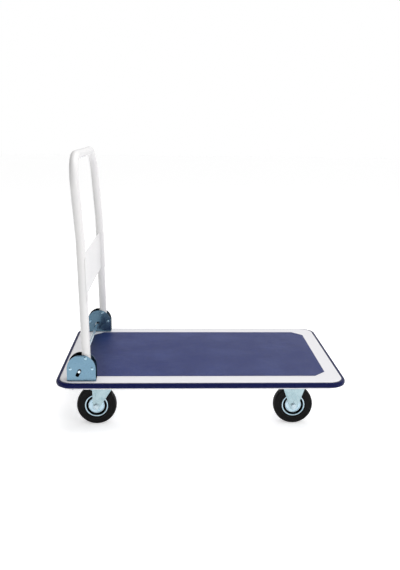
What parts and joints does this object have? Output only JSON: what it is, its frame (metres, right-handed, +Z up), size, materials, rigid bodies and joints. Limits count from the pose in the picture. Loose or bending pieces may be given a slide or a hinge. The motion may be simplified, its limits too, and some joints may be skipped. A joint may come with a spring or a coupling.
{
  "type": "folding platform cart",
  "caption": "Folding platform cart: a flat steel deck with a rubber-edged rim on fixed and swivel casters, with a hooped push handle that folds down over the deck.",
  "frame": {"origin": "on the floor, under the middle of the deck", "axes": "+X from the handle end to the load end, +Y across the deck, +Z up"},
  "size_m": [0.745, 0.483, 0.7065],
  "materials": {
    "deck_enamel": "gloss white enamel",
    "frame_enamel": "white enamel",
    "handle_enamel": "white powder coat",
    "mat_vinyl": "fine grain, slight sheen",
    "bumper_vinyl": "moulded",
    "bracket_zinc": "blue zinc plate",
    "fork_zinc": "bright zinc plate",
    "rim_zinc": "bright zinc plate",
    "rod_zinc": "bright zinc plate",
    "pin_zinc": "bright zinc plate",
    "bolt_zinc": "bright zinc plate",
    "hub_steel": "turned",
    "ball_steel": "ground",
    "spring_steel": "oiled black",
    "plug_plastic": "moulded",
    "tyre_rubber": "moulded solid rubber"
  },
  "bodies": {
    "chassis": {"axle_bolt_fixed": "bolt_zinc", "axle_nut_fixed": "bolt_zinc", "axle_sleeve_fixed": "pin_zinc", "bracket_bolts": "bolt_zinc", "bracket_far": "bracket_zinc", "bracket_near": "bracket_zinc", "bracket_nuts": "bolt_zinc", "bracket_sleeves": "bolt_zinc", "bumper_strip": "bumper_vinyl", "caster_bolts": "bolt_zinc", "caster_weld_nuts": "bolt_zinc", "crossmember_handle_end": "frame_enamel", "crossmember_load_end": "frame_enamel", "deck_mat": "mat_vinyl", "deck_pan": "deck_enamel", "fixed_fork_far": "fork_zinc", "fixed_fork_near": "fork_zinc", "king_pins": "pin_zinc", "lock_spring_far": "spring_steel", "lock_spring_near": "spring_steel", "pivot_pins": "pin_zinc", "spring_pins": "pin_zinc", "stiffener_rails": "frame_enamel", "stop_pins": "pin_zinc", "swivel_plate_far": "fork_zinc", "swivel_plate_near": "fork_zinc"},
    "handle": {"handle_tube": "handle_enamel", "handle_panel": "handle_enamel", "pivot_bushes": "pin_zinc", "handle_end_plugs": "plug_plastic"},
    "lock_bar": {"lock_rod": "rod_zinc", "lock_clips": "spring_steel"},
    "swivel_near": {"swivel_fork_near": "fork_zinc", "swivel_balls_near": "ball_steel", "axle_bolt_swivel_near": "bolt_zinc", "axle_nut_swivel_near": "bolt_zinc", "axle_sleeve_swivel_near": "pin_zinc"},
    "swivel_far": {"swivel_fork_far": "fork_zinc", "swivel_balls_far": "ball_steel", "axle_bolt_swivel_far": "bolt_zinc", "axle_nut_swivel_far": "bolt_zinc", "axle_sleeve_swivel_far": "pin_zinc"},
    "wheel_fixed_near": {"tyre_fixed_near": "tyre_rubber", "rim_fixed_near": "rim_zinc", "hub_fixed_near": "hub_steel"},
    "wheel_fixed_far": {"tyre_fixed_far": "tyre_rubber", "rim_fixed_far": "rim_zinc", "hub_fixed_far": "hub_steel"},
    "wheel_swivel_near": {"tyre_swivel_near": "tyre_rubber", "rim_swivel_near": "rim_zinc", "hub_swivel_near": "hub_steel"},
    "wheel_swivel_far": {"tyre_swivel_far": "tyre_rubber", "rim_swivel_far": "rim_zinc", "hub_swivel_far": "hub_steel"}
  },
  "joints": [
    {"name": "handle_fold", "type": "hinge", "parent": "chassis", "child": "handle", "pos_m": [-0.2925, 0, 0.198], "axis": [0, 1, 0], "range_deg": [0, 96]},
    {"name": "lock_press", "type": "slide", "parent": "chassis", "child": "lock_bar", "axis": [-0.454, 0, -0.891], "range_m": [0, 0.01], "stiffness_N_per_m": 1500, "springref_m": -0.007, "deforming": ["lock_spring_near", "lock_spring_far"]},
    {"name": "swivel_turn_near", "type": "hinge", "parent": "chassis", "child": "swivel_near", "pos_m": [-0.258, -0.168, 0.112], "axis": [0, 0, 1], "continuous": true},
    {"name": "swivel_turn_far", "type": "hinge", "parent": "chassis", "child": "swivel_far", "pos_m": [-0.258, 0.168, 0.112], "axis": [0, 0, 1], "continuous": true},
    {"name": "wheel_spin_fixed_near", "type": "hinge", "parent": "chassis", "child": "wheel_fixed_near", "pos_m": [0.244, -0.168, 0.052], "axis": [0, 1, 0], "continuous": true},
    {"name": "wheel_spin_fixed_far", "type": "hinge", "parent": "chassis", "child": "wheel_fixed_far", "pos_m": [0.244, 0.168, 0.052], "axis": [0, 1, 0], "continuous": true},
    {"name": "wheel_spin_swivel_near", "type": "hinge", "parent": "swivel_near", "child": "wheel_swivel_near", "pos_m": [-0.2735, -0.168, 0.052], "axis": [0, 1, 0], "continuous": true},
    {"name": "wheel_spin_swivel_far", "type": "hinge", "parent": "swivel_far", "child": "wheel_swivel_far", "pos_m": [-0.2735, 0.168, 0.052], "axis": [0, 1, 0], "continuous": true}
  ]
}
